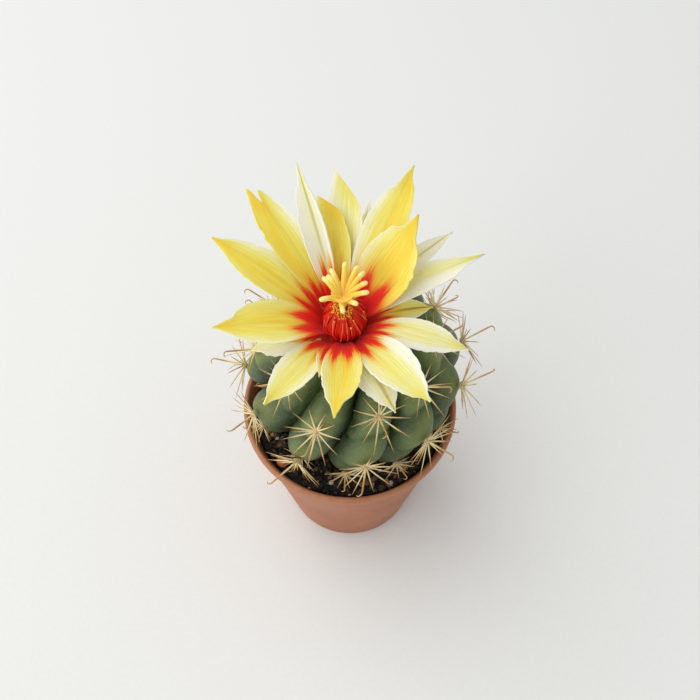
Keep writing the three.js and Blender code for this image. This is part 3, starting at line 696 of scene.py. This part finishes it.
# Fleshy tube: smooth green-yellow tissue, a little glossy, with fine lengthwise veins, and red
# where its mouth lies open between the petals.
tissue, tree, where = new_finish("fleshy_tube")
vein = add(tree, "TexNoise", {"Vector": where, "Scale": 700.0, "Detail": 4.0})
height = add(tree, "SeparateXYZ", {"Vector": where}).outputs["Z"]
ripe = add(tree, "MapRange", {"Value": height, "From Min": 0.077, "From Max": 0.0825})
colour = add(tree, "ValToRGB", {"Fac": ripe}, stops=[(0.0, "#6d7d3c"), (0.6, "#949b49"), (1.0, "#bdb55a")])
mouth = add(tree, "Attribute", attribute_name="mouth").outputs["Fac"]
colour = add(tree, "Mix", {0: mouth, 6: colour, 7: linear("#cb1d19")}, data_type="RGBA")
bump = add(tree, "Bump", {"Height": vein, "Strength": 0.4, "Distance": 0.0002})
shader = add(tree, "BsdfPrincipled", {
    "Base Color": colour, "Roughness": 0.45, "Normal": bump, "Subsurface Weight": 0.15,
    "Subsurface Scale": 0.001})
add(tree, "OutputMaterial", {"Surface": shader})
smooth(50)
settle("petal_cup", tissue, "flower_tube", "flower_tube")

# ---------- stamens ----------
# Over two hundred hair-thin red filaments stand packed round the style like a bundle of
# wires, bulging and closing again, and each ends in a tiny yellow anther full of pollen.

FILAMENT = rod([(0.15, 0), (0.14, 0.3), (0.14, 0.5), (0.13, 0.7), (0.12, 0.85), (0.1, 1)], 4)
FILAMENT_LEAN = Vector((0.6, -0.5, 0))    # how far the feet stand off the flower's axis
OUTER_FOOT = 2.95
# Each layer: number of filaments, then radius of the feet, the belly and the neck, and the height.
LAYERS = [(120, OUTER_FOOT, 4.4, 1.9, 11.2), (90, 2.6, 4.05, 1.6, 11.5), (64, 2.1, 3.3, 1.3, 11.9)]
FOOT_DEPTH = 0.9         # how far the feet stand below the mouth
STRAY_SHARE = 0.16       # of the outer filaments, which part stands out of the bundle
draw = random.Random(23)
filaments, anthers = empty_store(), empty_store()
bpy.ops.mesh.primitive_ico_sphere_add(subdivisions=1, radius=1)
ANTHER = taken()
for count, foot, belly, neck, top in LAYERS:
    for i in range(count):
        turn = 2 * math.pi * (i + draw.uniform(-0.25, 0.25)) / count
        swirl = draw.uniform(-0.12, 0.12)
        tall = top + draw.uniform(-0.7, 0.3)
        wide = belly + draw.uniform(-0.15, 0.12)
        close = neck + draw.uniform(-0.4, 0.7)
        stray = foot == OUTER_FOOT and draw.random() < STRAY_SHARE
        if stray:
            swirl += draw.uniform(-0.5, 0.5)
            wide += draw.uniform(0.3, 0.9)
            close += draw.uniform(0.8, 2.4)

        def path(h, turn=turn, swirl=swirl, tall=tall, wide=wide, close=close, foot=foot):
            """Out from the foot to the belly, then in to the neck."""
            radius = foot + (wide - foot) * ease(h, 0, 0.7)
            radius += (close - wide) * ease(h, 0.6, 1.02) ** 1.6
            way = turn + swirl * h
            height = (tall + FOOT_DEPTH) * h - FOOT_DEPTH
            lean = FILAMENT_LEAN * (1 - h)
            return lean + Vector((radius * math.sin(way), -radius * math.cos(way), height))

        out = Vector((math.sin(turn), -math.cos(turn), 0))
        laid(FILAMENT, path, out, 1, filaments)
        shade = draw.uniform(0.25, 0.6) if stray else draw.uniform(-0.25, 0.25)
        for j in range(-len(FILAMENT[0]), 0):
            filaments["along"][j] += shade
        if foot == OUTER_FOOT and i % 4:
            continue
        start = len(anthers["corners"])
        middle = path(1.0) + Vector((0, 0, 0.1))
        size = draw.uniform(0.17, 0.26)
        for corner in ANTHER[0]:
            sac = Vector((corner.x, corner.y, corner.z * 1.5))
            anthers["corners"].append((middle + sac * size) * MM)
        anthers["faces"] += [tuple(start + j for j in face) for face in ANTHER[1]]

# Filament: thin wet-looking red threads, deepest at the foot and more scarlet toward the anther.
thread, tree, where = new_finish("red_filament")
along = add(tree, "Attribute", attribute_name="along").outputs["Fac"]
vary = add(tree, "TexNoise", {"Vector": where, "Scale": 900.0, "Detail": 2.0})
tone = add(tree, "Math", {0: along, 1: 0.55}, operation="MULTIPLY")
tone = add(tree, "Math", {0: vary, 1: 0.3, 2: tone}, operation="MULTIPLY_ADD")
colour = add(tree, "ValToRGB", {"Fac": tone}, stops=[
    (0.15, "#c41413"), (0.5, "#ec2a1d"), (0.8, "#f2442b"), (1.0, "#f5886a")])
shader = add(tree, "BsdfPrincipled", {
    "Base Color": colour, "Roughness": 0.4, "Subsurface Weight": 0.1, "Subsurface Scale": 0.0006})
add(tree, "OutputMaterial", {"Surface": shader})
stand("filaments", filaments["corners"], filaments["faces"], along=filaments["along"])
bpy.context.object.data.transform(FLOWER)
smooth(60)
settle("filaments", thread, "stamens", "stamens")

# Anther: a sac of dry pollen, golden yellow and powdery, with grains of 0.05 mm drawn coarser.
pollen, tree, where = new_finish("pollen")
grain = add(tree, "TexNoise", {"Vector": where, "Scale": 4500.0, "Detail": 2.0})
colour = add(tree, "ValToRGB", {"Fac": grain}, stops=[(0.3, "#ea8a24"), (0.6, "#f5ab38"), (0.8, "#fbc95e")])
bump = add(tree, "Bump", {"Height": grain, "Strength": 0.6, "Distance": 0.0001})
shader = add(tree, "BsdfPrincipled", {"Base Color": colour, "Roughness": 0.9, "Normal": bump})
add(tree, "OutputMaterial", {"Surface": shader})
stand("anthers", anthers["corners"], anthers["faces"])
bpy.context.object.data.transform(FLOWER)
smooth(60)
settle("anthers", pollen, "stamens")

# ---------- style and stigma ----------
# The style is a stout stalk up the middle of the filaments. Its stigma opens above them into
# eleven fleshy yellow lobes like fingers, joined at their feet, with a sticky velvety surface.

STYLE_TOP = 14.2
LOBES = [       # degrees from the front toward +X, reach and rise in mm
    (172, 5.0, 5.0), (-152, 4.5, 4.2), (139, 5.4, 4.4), (119, 5.5, 3.9), (101, 5.2, 3.0), (77, 5.3, 2.2),
    (-114, 4.8, 3.0), (-64, 5.1, 1.8), (-8, 4.1, 0.3), (-135, 4.2, 3.4), (40, 4.0, 1.0)]
STALK = rod([(0.75, 0), (0.78, 0.4), (0.82, 0.75), (1.0, 0.93), (1.1, 1)], 20)
FINGER = rod([(0.8, 0), (0.85, 0.14), (0.72, 0.28), (0.58, 0.42), (0.53, 0.6), (0.54, 0.8), (0.5, 0.9),
              (0.36, 0.97), (0.14, 1)], 12)
CUP_OUTLINE = [         # the fleshy cup where the lobes join
    (0.8, -1.6), (1.3, -0.5), (1.9, 0.35), (2.35, 1.1), (2.3, 1.3), (2.05, 1.25), (1.4, 0.75),
    (0.7, 0.35), (0.3, 0.0), (0.15, -0.3)]
fingers = empty_store()


def stem(height):
    """The middle of the style at a height: it curves back to upright."""
    return Vector((0, 0.0075 * height * height, height))


laid(STALK, lambda h: stem(-1.4 + (STYLE_TOP + 1.9) * h), Vector((1, 0, 0)), 1, fingers)
draw = random.Random(5)
upright = Matrix.Rotation(-FLOWER_TILT, 3, "X")
for turn, reach, rise in LOBES:
    turn = math.radians(turn)
    away = Vector((math.sin(turn), -math.cos(turn), 0))
    swing = Vector((math.cos(turn), math.sin(turn), 0)) * draw.uniform(-0.9, 0.9)

    def path(h, away=away, reach=reach, rise=rise, swing=swing):
        """Out from the top of the style, then up, and level again at the end."""
        lift = rise * math.sin(math.pi / 2 * min(h * 1.12, 1.15)) ** 1.2
        place = away * (0.25 + (reach - 0.25) * h ** 0.9) + swing * h * h
        return stem(STYLE_TOP) + upright @ (place + Vector((0, 0, lift - 0.2)))

    laid(FINGER, path, upright @ away.cross(Vector((0, 0, 1))), 1, fingers)

# Stigma: soft yellow flesh with a velvet of tiny papillae that makes its edges paler.
velvet, tree, where = new_finish("velvety_stigma")
fine = add(tree, "TexNoise", {"Vector": where, "Scale": 2800.0, "Detail": 3.0})
broad = add(tree, "TexNoise", {"Vector": where, "Scale": 350.0, "Detail": 2.0})
along = add(tree, "Attribute", attribute_name="along").outputs["Fac"]
tone = add(tree, "Math", {0: broad, 1: 0.6, 2: along}, operation="MULTIPLY_ADD")
colour = add(tree, "ValToRGB", {"Fac": tone}, stops=[
    (0.25, "#f3a62f"), (0.6, "#fac63c"), (1.0, "#fddc58"), (1.35, "#fdea8c")])
bump = add(tree, "Bump", {"Height": fine, "Strength": 0.5, "Distance": 0.0001})
shader = add(tree, "BsdfPrincipled", {
    "Base Color": colour, "Roughness": 0.55, "Normal": bump, "Subsurface Weight": 0.2,
    "Subsurface Scale": 0.001, "Sheen Weight": 0.3})
add(tree, "OutputMaterial", {"Surface": shader})
turned(CUP_OUTLINE, 24)
corners, faces = taken()
start = len(fingers["corners"])
fingers["corners"] += [stem(STYLE_TOP) * MM + upright @ corner for corner in corners]
fingers["along"] += [0.1 if math.hypot(corner.x, corner.y) < 1.3 * MM else 0.35 for corner in corners]
fingers["faces"] += [tuple(start + i for i in face) for face in faces]
stand("stigma", fingers["corners"], fingers["faces"], along=fingers["along"])
bpy.context.object.data.transform(FLOWER)
smooth(60)
settle("stigma", velvet, "stigma", "style_and_stigma")

# ---------- petals ----------
# Nineteen thin satiny petals in rings round the cup, each grown as one blade with a shallow
# channel, a pointed and nicked tip and wavy edges. Most of the outer ones are narrower.

WHORL_RADIUS = 3.6
WHORL_STEP = 0.56
PETAL_FOOT = 0.4         # height of the foot over the mouth of the tube
PETAL_RISE = 70          # degrees above level at the foot
PETAL_THICK = 0.3
BLADE_ROWS = 44
BLADE_COLUMNS = 16
WIDEST = 0.58
# Each petal: direction in degrees from the front toward +X, length in mm, degrees above level of
# its tip, width in mm, ring, paleness, strength and brownness of its midrib, sideways shift of its
# tip in mm, how much fuller its +sideways half is, and how much paler that half is.
PETALS = [
    (-1.5, 24.4, 14, 8.2, 0, 0.12, 0, 0, -0.9, 0.1, -0.15),
    (27, 21.6, -4, 8, 2, 0.75, 0.8, 0.9, 0, 0, 0),
    (41, 26.4, 7, 9.2, 1, 0.5, 0, 0, 0, 0, 0.2),
    (74, 25.6, -9, 6.8, 2, 0.6, 0, 0, 0, 0, -0.1),
    (100, 16.4, -14, 5.2, 3, 0.3, 1.3, 1, 0, 0, 0),
    (112, 31.8, 1, 6, 2, 0.7, 0.2, 0.2, 0, 0, -0.2),
    (128.5, 28.8, -6, 4.8, 3, 0.9, 0.7, 1, 0, 0, 0),
    (131.5, 28.2, 37, 12.4, 0, 0.05, 0, 0, 2.2, -0.06, 0.2),
    (152.5, 35.4, 18, 8.8, 1, 0.15, 0.2, 0, 0, 0, 0.35),
    (167, 25, 6, 3.4, 3, 0.9, 0.5, 1, 0, 0, 0),
    (178.5, 31.4, 6, 7.6, 2.35, 0.6, 0, 0, 0, 0, 0.15),
    (187.5, 26.4, 19, 7, 1.1, 0.15, 0, 0, 0, 0, 0.25),
    (198.5, 34.4, 22, 5.2, 0, 0.8, 1, 0, 0, 0.3, 0.05),
    (217.5, 33.2, 15, 8.2, 2, 0.2, 0.3, 0.1, 0, 0, -0.5),
    (242, 30.8, 10.5, 8.4, 3, 0.15, 0.2, 0, 0, 0, -0.3),
    (280, 27.6, 7, 9.6, 0, 0.15, 0.2, 0, 0, 0, 0.1),
    (288, 17.6, -20, 7.4, 3, 0.8, 0, 0, 0, 0, 0),
    (321.5, 23.4, 1, 7.6, 2.7, 0.4, 0.1, 0, 0, 0, -0.1),
    (341, 13.6, 19, 4.8, 1.5, 0.3, 0, 0, 0, 0, 0)]
BLUNT = {10: 0.8, 11: 0.82, 13: 0.91}   # the fraction of its pointed length at which a petal ends
SLOPED = {10: 0.22, 11: 0.14, 13: 0.06}   # how much shorter the -sideways edge is than the other
NOTCHED = {13: 0.11}   # how deep a notch splits the tip
SHORT_BEND = {18: 1.5}   # the small petal straightens sooner than the others


def blade_width(s):
    """The share of its full width that a petal has at a fraction of its length."""
    if s < WIDEST:
        return 0.24 + 0.76 * math.sin(math.pi / 2 * s / WIDEST) ** 1.5
    return max(math.cos(math.pi / 2 * (s - WIDEST) / (1 - WIDEST)), 0.03)


def blade_rise(level, bend, s):
    """Steepness of a petal, in radians, at a fraction of its length."""
    return math.radians(level + (PETAL_RISE - level) * (1 - s) ** bend)


def blade_middle(length, level, whorl, bend, s):
    """Distance from the flower's axis and height of the middle of a petal."""
    steps = 24
    radius = WHORL_RADIUS + WHORL_STEP * whorl
    height = PETAL_FOOT
    for i in range(steps):
        rise = blade_rise(level, bend, s * (i + 0.5) / steps)
        radius += math.cos(rise) * length * s / steps
        height += math.sin(rise) * length * s / steps
    return radius, height


# Petal: thin wet tissue with a satin shine, streaks some 0.4 mm wide and finer veins to the tip.
# Clear yellow, paler at the edges, scarlet in a ragged flame round the throat, and lit through.
# Its outside has no scarlet: it goes greenish toward the cup.
def petal_finish(name, foot_stops):
    """The petal's material, with its own colours from the flower's axis outward."""
    material, tree, where = new_finish(name)
    blade = add(tree, "SeparateXYZ", {"Vector": add(tree, "UVMap", uv_map="UVMap")})
    across, along = blade.outputs["X"], blade.outputs["Y"]
    side = add(tree, "MapRange", {"Value": across, "To Min": -1.0, "To Max": 1.0})
    edge = add(tree, "Math", {0: side}, operation="ABSOLUTE")
    mark = add(tree, "Attribute", attribute_name="mark")
    marks = add(tree, "SeparateColor", {"Color": mark.outputs["Color"]})
    width = mark.outputs["Alpha"]
    lengthwise = add(tree, "CombineXYZ", {
        "X": add(tree, "Math", {0: side, 1: width}, operation="MULTIPLY"),
        "Y": add(tree, "Math", {0: along, 1: 2.2}, operation="MULTIPLY"),
        "Z": add(tree, "Math", {0: marks.outputs["Red"], 1: 31.0}, operation="MULTIPLY")})
    streak = add(tree, "TexNoise", {"Vector": lengthwise, "Scale": 1.3, "Detail": 4.0, "Roughness": 0.6})
    vein = add(tree, "TexNoise", {"Vector": lengthwise, "Scale": 4.5, "Detail": 3.0})
    slant = add(tree, "Attribute", attribute_name="slant").outputs["Fac"]
    pale = add(tree, "Math", {0: edge, 1: 2.0}, operation="POWER")
    pale = add(tree, "Math", {0: pale, 1: 0.58, 2: marks.outputs["Red"]}, operation="MULTIPLY_ADD")
    pale = add(tree, "Math", {0: slant, 1: side, 2: pale}, operation="MULTIPLY_ADD")
    wander = add(tree, "MapRange", {"Value": streak, "To Min": -0.6, "To Max": 0.6})
    pale = add(tree, "Math", {0: pale, 1: wander}, operation="ADD")
    golden = add(tree, "MapRange", {
        "Value": along, "From Min": 0.8, "From Max": 1.0, "To Min": 0.0, "To Max": -0.35})
    pale = add(tree, "Math", {0: pale, 1: golden}, operation="ADD", use_clamp=True)
    yellow = add(tree, "ValToRGB", {"Fac": pale}, stops=[
        (0.0, "#f7d040"), (0.2, "#f3dc58"), (0.5, "#f1e785"), (0.78, "#f7f1bb"), (1.0, "#faf7e2")])
    rib_line = add(tree, "MapRange", {
        "Value": edge, "From Min": 0.0, "From Max": 0.22, "To Min": 1.0, "To Max": 0.0},
        interpolation_type="SMOOTHSTEP")
    rib_line = add(tree, "Math", {0: rib_line, 1: marks.outputs["Green"]}, operation="MULTIPLY")
    rib_line = add(tree, "Math", {0: rib_line, 1: along}, operation="MULTIPLY", use_clamp=True)
    rib_tone = add(tree, "Mix", {0: marks.outputs["Blue"], 6: linear("#a9b257"), 7: linear("#b07f3c")},
                   data_type="RGBA")
    yellow = add(tree, "Mix", {0: rib_line, 6: yellow, 7: rib_tone}, data_type="RGBA")
    on_axis = add(tree, "Mapping", {
        "Vector": where, "Location": FLOWER_MOUTH * MM, "Rotation": (FLOWER_TILT, 0, 0)},
        vector_type="TEXTURE")
    flat = add(tree, "VectorMath", {0: on_axis, 1: (1000.0, 1000.0, 0.0)}, operation="MULTIPLY")
    out = add(tree, "VectorMath", {0: flat}, operation="LENGTH").outputs["Value"]
    tongue = add(tree, "Math", {0: streak, 1: 0.9, 2: side}, operation="MULTIPLY_ADD")
    tongue = add(tree, "Math", {0: tongue, 1: 0.42}, operation="PINGPONG")
    throat = add(tree, "Math", {0: tongue, 1: 8.5, 2: out}, operation="MULTIPLY_ADD")
    ragged = add(tree, "MapRange", {"Value": vein, "To Min": -1.0, "To Max": 1.0})
    throat = add(tree, "Math", {0: throat, 1: ragged}, operation="ADD")
    flame = add(tree, "MapRange", {"Value": throat, "From Min": 5.0, "From Max": 17.0})
    flame_tone = add(tree, "ValToRGB", {"Fac": flame}, stops=foot_stops)
    burn = add(tree, "MapRange", {
        "Value": flame, "From Min": 0.5, "From Max": 0.8, "To Min": 1.0, "To Max": 0.0},
        interpolation_type="SMOOTHSTEP")
    colour = add(tree, "Mix", {0: burn, 6: yellow, 7: flame_tone}, data_type="RGBA")
    bump = add(tree, "Bump", {"Height": vein, "Strength": 0.5, "Distance": 0.00025})
    shader = add(tree, "BsdfPrincipled", {
        "Base Color": colour, "Roughness": 0.42, "IOR": 1.4, "Normal": bump, "Subsurface Weight": 0.35,
        "Subsurface Scale": 0.0012, "Subsurface Radius": (1.0, 0.8, 0.35), "Sheen Weight": 0.12})
    add(tree, "OutputMaterial", {"Surface": shader})
    return material


satin = petal_finish("satin_petal", [
    (0.0, "#e01817"), (0.3, "#f4221a"), (0.43, "#f42f1b"), (0.49, "#f07226"), (0.56, "#f8b236"),
    (0.8, "#f9cb44")])
outside = petal_finish("satin_petal_outside", [
    (0.0, "#98a04c"), (0.3, "#c3bd58"), (0.55, "#e6d15a"), (0.8, "#f6da54")])

draw = random.Random(41)
for number, (turn, length, level, width, whorl, pale, rib, brown, shift, fuller, slant) in enumerate(PETALS):
    bpy.ops.mesh.primitive_grid_add(x_subdivisions=BLADE_COLUMNS, y_subdivisions=BLADE_ROWS, size=2)
    petal = bpy.context.object
    turn = math.radians(turn)
    bend = SHORT_BEND.get(number, 2)
    outward = Vector((math.sin(turn), -math.cos(turn), 0))
    sideways = Vector((math.cos(turn), math.sin(turn), 0))
    shoulders = [(draw.uniform(0.8, 0.93), draw.uniform(0.12, 0.4)) for _ in range(2)]
    for corner in petal.data.vertices:
        u, s = corner.co.x, corner.co.y / 2 + 0.5
        half = width / 2 * blade_width(s * BLUNT.get(number, 1)) * (1 + fuller * u)
        s *= 1 - SLOPED.get(number, 0) * (1 - u) / 2
        s *= 1 - NOTCHED.get(number, 0) * ease(s, 0.75, 1) * ease(0.6 - abs(u - 0.15), 0, 0.6)
        radius, height = blade_middle(length, level, whorl, bend, s)
        rise = blade_rise(level, bend, s)
        nick = noise.noise(Vector((s * 26, number * 3.7, u * 0.8 + 5)))
        half *= 1 + 0.12 * nick * ease(s, 0.35, 0.8)
        shoulder, depth = shoulders[u > 0]
        depth *= number not in BLUNT
        half *= 1 - depth * ease(s, shoulder, shoulder + 0.04) * ease(abs(u), 0, 0.3)
        curl = radius * (1 + 2 * s)
        channel = (0.75 - 0.2 * whorl) * u * u * math.sin(math.pi * s)
        wave = 0.25 * u * s * math.sin(9 * s + 2.4 * number)
        wave += 0.28 * u * u * s * noise.noise(Vector((s * 7, u * 1.5, number * 2.3)))
        away = radius - curl * (1 - math.cos(u * half / curl)) - math.sin(rise) * (channel + wave)
        aside = curl * math.sin(u * half / curl) + shift * s ** 3
        point = outward * away + sideways * aside
        point.z = height + math.cos(rise) * (channel + wave)
        corner.co = point * MM
    petal.data.transform(FLOWER)
    mark = petal.data.attributes.new("mark", "FLOAT_COLOR", "POINT")
    mark.data.foreach_set("color", [pale, rib, brown, width] * len(petal.data.vertices))
    lean = petal.data.attributes.new("slant", "FLOAT", "POINT")
    lean.data.foreach_set("value", [slant] * len(petal.data.vertices))
    thicken = petal.modifiers.new("thickness", "SOLIDIFY")
    thicken.thickness = PETAL_THICK * MM
    thicken.offset = 0
    thicken.material_offset = 1
    thicken.material_offset_rim = 1
    petal.data.materials.append(outside)
    petal.data.materials.append(satin)
    bpy.ops.object.modifier_apply(modifier=thicken.name)
    smooth(70)
    word = f"{number + 1:02d}"
    settle(f"blade_{word}", None, "petal", f"petal_{word}")

# ---------- floor, light and camera ----------
# A wide sheet of pale matt paper under soft daylight from a big high window at the left, a
# little behind, with a white wall at the left front that fills the shadows.

bpy.ops.mesh.primitive_plane_add(size=6)
floor = bpy.context.object
floor.name = "paper_floor"
paper, tree, where = new_finish("pale_matt_paper")
tooth = add(tree, "TexNoise", {"Vector": where, "Scale": 900.0, "Detail": 3.0})
colour = add(tree, "ValToRGB", {"Fac": tooth}, stops=[(0.0, "#e6e7e5"), (1.0, "#ecedeb")])
bump = add(tree, "Bump", {"Height": tooth, "Strength": 0.1, "Distance": 0.0001})
shader = add(tree, "BsdfPrincipled", {"Base Color": colour, "Roughness": 0.9, "Normal": bump})
add(tree, "OutputMaterial", {"Surface": shader})
floor.data.materials.append(paper)

TARGET = Vector((0, 0, 0.074))


def aim(item, place):
    """Puts a light or the camera at a place and turns it to the plant."""
    item.location = place
    item.rotation_euler = (TARGET - Vector(place)).to_track_quat("-Z", "Y").to_euler()


for name, place, size, power, code in [
        ("window", (-0.6, 0.3, 1.15), 1.25, 8.6, "#fffdf9"),
        ("wall", (-0.85, -0.6, 0.5), 0.9, 4.6, "#ffffff")]:
    bpy.ops.object.light_add(type="AREA")
    light = bpy.context.object
    light.name = name
    light.data.size = size
    light.data.energy = power
    light.data.color = linear(code)[:3]
    aim(light, place)

world = bpy.data.worlds.new("soft_room")
world.use_nodes = True
world.node_tree.nodes["Background"].inputs["Color"].default_value = linear("#f5f6f6")
world.node_tree.nodes["Background"].inputs["Strength"].default_value = 0.635
bpy.context.scene.world = world
bpy.context.scene.view_settings.view_transform = "Standard"

bpy.ops.object.camera_add()
camera = bpy.context.object
camera.data.lens = 36
camera.data.sensor_width = 36
camera.data.clip_start = 0.01
aim(camera, (0, -0.0870, 0.2095))
bpy.context.scene.camera = camera
